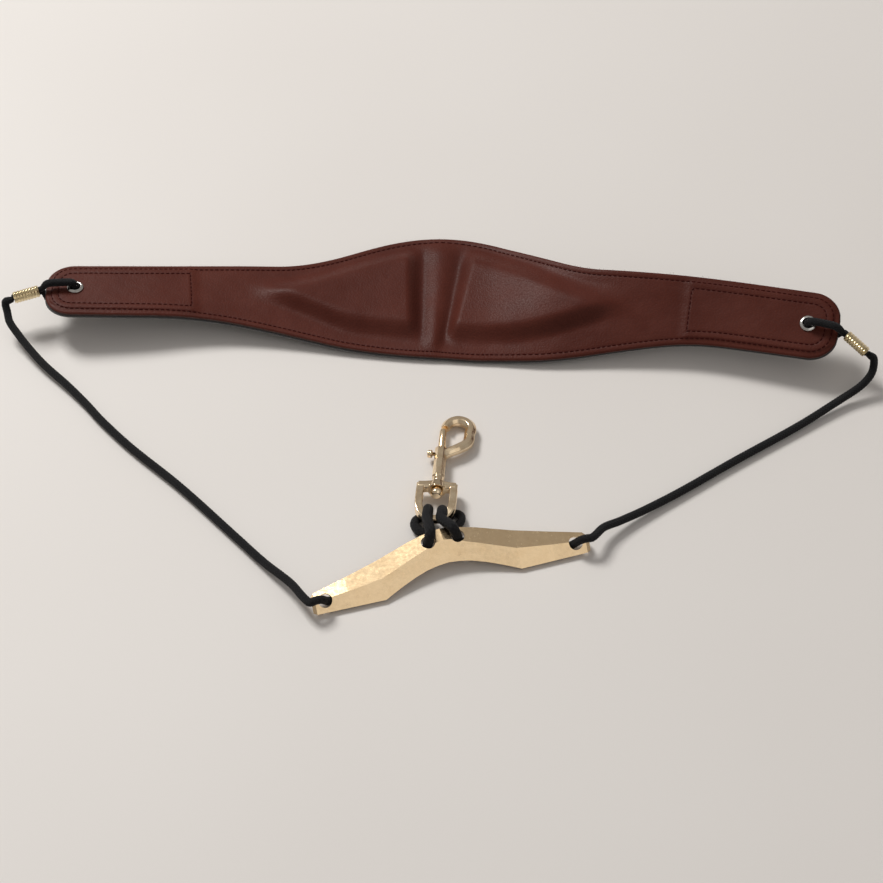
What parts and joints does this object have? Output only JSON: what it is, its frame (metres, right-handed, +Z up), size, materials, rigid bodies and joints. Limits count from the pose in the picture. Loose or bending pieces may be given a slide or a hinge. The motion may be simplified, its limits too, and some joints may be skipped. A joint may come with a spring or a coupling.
{
  "type": "saxophone neck strap",
  "caption": "Padded leather neck strap with a cord at each end, joined by a folded metal spreader bar and a swivel bolt snap.",
  "frame": {"origin": "centre of the footprint of everything but the two free cords, on the table it lies on", "axes": "+X along the neck pad from its left end to its right end, +Y from the spreader bar towards the neck pad, +Z up"},
  "size_m": [0.4232, 0.2304, 0.0289],
  "materials": {
    "brown_leather": "smooth grain, semi-matt",
    "dark_lining": "napped, matt",
    "foam": "open cell foam",
    "stiffener_board": "plain board",
    "nickel_plate": "polished nickel plate",
    "pale_brass": "plated, serrated",
    "champagne_gold": "polished gold plating",
    "gold_casting": "plated casting, semi-polished",
    "spring_steel": "bright wire",
    "black_cord": "braided"
  },
  "bodies": {
    "strap": {"backing_lining": "dark_lining", "foam_pad_left": "foam", "foam_pad_right": "foam", "hitch_cord": "black_cord", "leather_cover": "brown_leather", "left_cord": "black_cord", "left_end_stiffener": "stiffener_board", "left_eyelet": "nickel_plate", "left_eyelet_loop": "black_cord", "left_eyelet_washer": "nickel_plate", "left_ferrule": "pale_brass", "right_cord": "black_cord", "right_end_stiffener": "stiffener_board", "right_eyelet": "nickel_plate", "right_eyelet_loop": "black_cord", "right_eyelet_washer": "nickel_plate", "right_ferrule": "pale_brass", "spreader_bar": "champagne_gold"},
    "eye": {"swivel_eye": "gold_casting"},
    "snap": {"snap_hook": "gold_casting", "bolt_spring": "spring_steel"},
    "gate": {"bolt": "gold_casting", "thumb_stud": "gold_casting"}
  },
  "joints": [
    {"name": "eye_swing", "type": "hinge", "parent": "strap", "child": "eye", "pos_m": [-0.00077, -0.06629, 0.00717], "axis": [0.9969, -0.0785, 0], "range_deg": [0, 100]},
    {"name": "snap_swivel", "type": "hinge", "parent": "eye", "child": "snap", "pos_m": [0.00092, -0.04482, 0.00548], "axis": [0.0782, 0.9938, -0.0785], "continuous": true},
    {"name": "bolt_slide", "type": "slide", "parent": "snap", "child": "gate", "axis": [-0.0782, -0.9938, 0.0785], "range_m": [0, 0.007], "stiffness_N_per_m": 250, "springref_m": -0.003, "deforming": ["bolt_spring"]}
  ]
}
